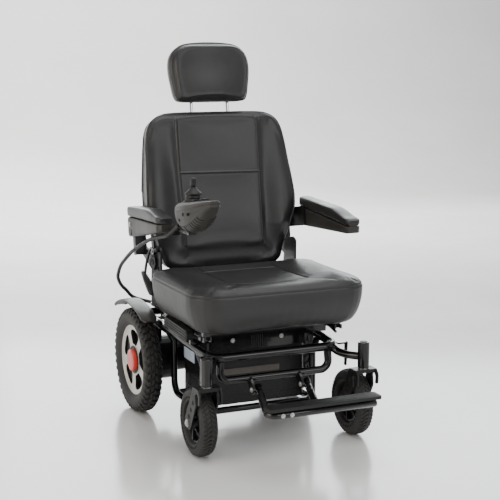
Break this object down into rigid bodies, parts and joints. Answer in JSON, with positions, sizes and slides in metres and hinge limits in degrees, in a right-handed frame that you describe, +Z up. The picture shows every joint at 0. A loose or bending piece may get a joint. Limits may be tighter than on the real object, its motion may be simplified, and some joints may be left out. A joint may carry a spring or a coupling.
{
  "type": "power wheelchair",
  "caption": "Mid-size electric wheelchair: reclining captain seat with headrest, flip-up armrests, joystick controller, rear drive wheels, trailing front casters and a flip-up footrest.",
  "frame": {"origin": "centre of the bounding box in plan, on the floor", "axes": "+Z up, the chair faces -Y, and its right-hand side, with the joystick, is at -X"},
  "size_m": [0.608, 0.8806, 1.1109],
  "materials": {
    "frame_black": "gloss black powder coat",
    "leather": "charcoal upholstery with a soft sheen and fine grain",
    "moulded_plastic": "dark grey textured moulding",
    "case_plastic": "black satin moulding",
    "rubber": "black soft rubber",
    "tyre": "black tyre rubber",
    "rim_silver": "warm silver paint",
    "caster_rim": "black moulded rim",
    "red_cap": "red hub cap",
    "chrome": "polished chrome",
    "motor_black": "black painted casting"
  },
  "bodies": {
    "chassis": {"upper_frame_loop": "frame_black", "front_bumper_tube": "frame_black", "base_frame": "frame_black", "battery_case": "case_plastic", "battery_case_lid": "case_plastic", "battery_pack": "case_plastic", "control_module": "motor_black", "drive_motor_right": "motor_black", "drive_motor_left": "motor_black", "fender_right": "moulded_plastic", "fender_left": "moulded_plastic", "caster_arm_right": "frame_black", "caster_arm_left": "frame_black", "slide_rail_right": "frame_black", "slide_rail_left": "frame_black", "seat_crossbar_front": "frame_black", "seat_crossbar_rear": "frame_black", "cable_loop": "rubber"},
    "drive_wheel_right": {"drive_tyre_right": "tyre", "drive_rim_right": "rim_silver", "hub_cap_right": "red_cap"},
    "drive_wheel_left": {"drive_tyre_left": "tyre", "drive_rim_left": "rim_silver", "hub_cap_left": "red_cap"},
    "caster_swivel_right": {"caster_fork_right": "frame_black"},
    "caster_swivel_left": {"caster_fork_left": "frame_black"},
    "caster_wheel_right": {"caster_tyre_right": "tyre", "caster_rim_right": "caster_rim"},
    "caster_wheel_left": {"caster_tyre_left": "tyre", "caster_rim_left": "caster_rim"},
    "seat": {"seat_pan": "frame_black", "seat_cushion": "leather", "recliner_plate_right": "frame_black", "recliner_plate_left": "frame_black"},
    "seat_slide_lever": {"slide_lever": "frame_black"},
    "recliner_lever": {"recline_lever": "frame_black"},
    "backrest": {"back_cushion": "leather", "back_shell": "moulded_plastic", "back_bracket_right": "frame_black", "back_bracket_left": "frame_black"},
    "headrest": {"headrest_cushion": "leather", "headrest_post_right": "chrome", "headrest_post_left": "chrome"},
    "armrest_right": {"arm_base_right": "moulded_plastic", "arm_pad_right": "leather", "controller_bracket": "frame_black", "controller_lower_shell": "moulded_plastic", "controller_upper_shell": "moulded_plastic", "joystick_boot": "rubber", "cable_arm_run": "rubber"},
    "armrest_left": {"arm_base_left": "moulded_plastic", "arm_pad_left": "leather"},
    "gimbal": {"joystick_gimbal": "rubber"},
    "joystick": {"joystick_knob": "rubber"},
    "power_switch": {"power_button": "rubber"},
    "horn_switch": {"horn_button": "rubber"},
    "speed_switch": {"speed_rocker": "rubber"},
    "footrest": {"footrest_frame": "frame_black", "footplate": "rubber"}
  },
  "joints": [
    {"name": "drive_wheel_right_spin", "type": "hinge", "parent": "chassis", "child": "drive_wheel_right", "pos_m": [-0.2505, 0.275, 0.159], "axis": [1, 0, 0], "continuous": true},
    {"name": "caster_swivel_right_turn", "type": "hinge", "parent": "chassis", "child": "caster_swivel_right", "pos_m": [-0.236, -0.253, 0.211], "axis": [0, 0, 1], "continuous": true},
    {"name": "caster_wheel_right_spin", "type": "hinge", "parent": "caster_swivel_right", "child": "caster_wheel_right", "pos_m": [-0.236, -0.191, 0.095], "axis": [1, 0, 0], "continuous": true},
    {"name": "drive_wheel_left_spin", "type": "hinge", "parent": "chassis", "child": "drive_wheel_left", "pos_m": [0.2505, 0.275, 0.159], "axis": [1, 0, 0], "continuous": true},
    {"name": "caster_swivel_left_turn", "type": "hinge", "parent": "chassis", "child": "caster_swivel_left", "pos_m": [0.236, -0.253, 0.211], "axis": [0, 0, 1], "continuous": true},
    {"name": "caster_wheel_left_spin", "type": "hinge", "parent": "caster_swivel_left", "child": "caster_wheel_left", "pos_m": [0.236, -0.191, 0.095], "axis": [1, 0, 0], "continuous": true},
    {"name": "seat_slide", "type": "slide", "parent": "chassis", "child": "seat", "axis": [0, 1, 0], "range_m": [-0.05, 0.04], "deforming": ["cable_loop"]},
    {"name": "slide_lever_lift", "type": "hinge", "parent": "seat", "child": "seat_slide_lever", "pos_m": [0.168, -0.13, 0.3268], "axis": [-1, 0, 0], "range_deg": [0, 8], "stiffness_Nm_per_rad": 0.8, "springref_deg": -17.19},
    {"name": "recline_lever_lift", "type": "hinge", "parent": "seat", "child": "recliner_lever", "pos_m": [-0.23, 0.163, 0.508], "axis": [1, 0, 0], "range_deg": [0, 10], "stiffness_Nm_per_rad": 0.8, "springref_deg": -17.19},
    {"name": "backrest_recline", "type": "hinge", "parent": "seat", "child": "backrest", "pos_m": [0, 0.195, 0.47], "axis": [-1, 0, 0], "range_deg": [-12, 25], "deforming": ["cable_loop"]},
    {"name": "headrest_height", "type": "slide", "parent": "backrest", "child": "headrest", "axis": [0, 0.1685, 0.9857], "range_m": [-0.025, 0.06]},
    {"name": "armrest_right_flip", "type": "hinge", "parent": "backrest", "child": "armrest_right", "pos_m": [-0.27, 0.185, 0.588], "axis": [-1, 0, 0], "range_deg": [0, 82], "deforming": ["cable_loop"]},
    {"name": "armrest_left_flip", "type": "hinge", "parent": "backrest", "child": "armrest_left", "pos_m": [0.27, 0.185, 0.588], "axis": [-1, 0, 0], "range_deg": [0, 90]},
    {"name": "joystick_fore_aft", "type": "hinge", "parent": "armrest_right", "child": "gimbal", "pos_m": [-0.248, -0.195, 0.682], "axis": [1, 0, 0], "range_deg": [-18, 18], "stiffness_Nm_per_rad": 0.6, "deforming": ["joystick_boot"]},
    {"name": "joystick_side", "type": "hinge", "parent": "gimbal", "child": "joystick", "pos_m": [-0.248, -0.195, 0.682], "axis": [0, 1, 0], "range_deg": [-18, 18], "stiffness_Nm_per_rad": 0.6, "deforming": ["joystick_boot"]},
    {"name": "power_button_press", "type": "slide", "parent": "armrest_right", "child": "power_switch", "axis": [0, 0, -1], "range_m": [0, 0.0015], "stiffness_N_per_m": 300, "springref_m": -0.001},
    {"name": "horn_button_press", "type": "slide", "parent": "armrest_right", "child": "horn_switch", "axis": [0, 0, -1], "range_m": [0, 0.0015], "stiffness_N_per_m": 300, "springref_m": -0.001},
    {"name": "speed_rocker_tilt", "type": "hinge", "parent": "armrest_right", "child": "speed_switch", "pos_m": [-0.248, -0.271, 0.709], "axis": [0, 1, 0], "range_deg": [-5, 5], "stiffness_Nm_per_rad": 0.06},
    {"name": "footrest_flip", "type": "hinge", "parent": "chassis", "child": "footrest", "pos_m": [0, -0.199, 0.168], "axis": [-1, 0, 0], "range_deg": [0, 60]}
  ]
}
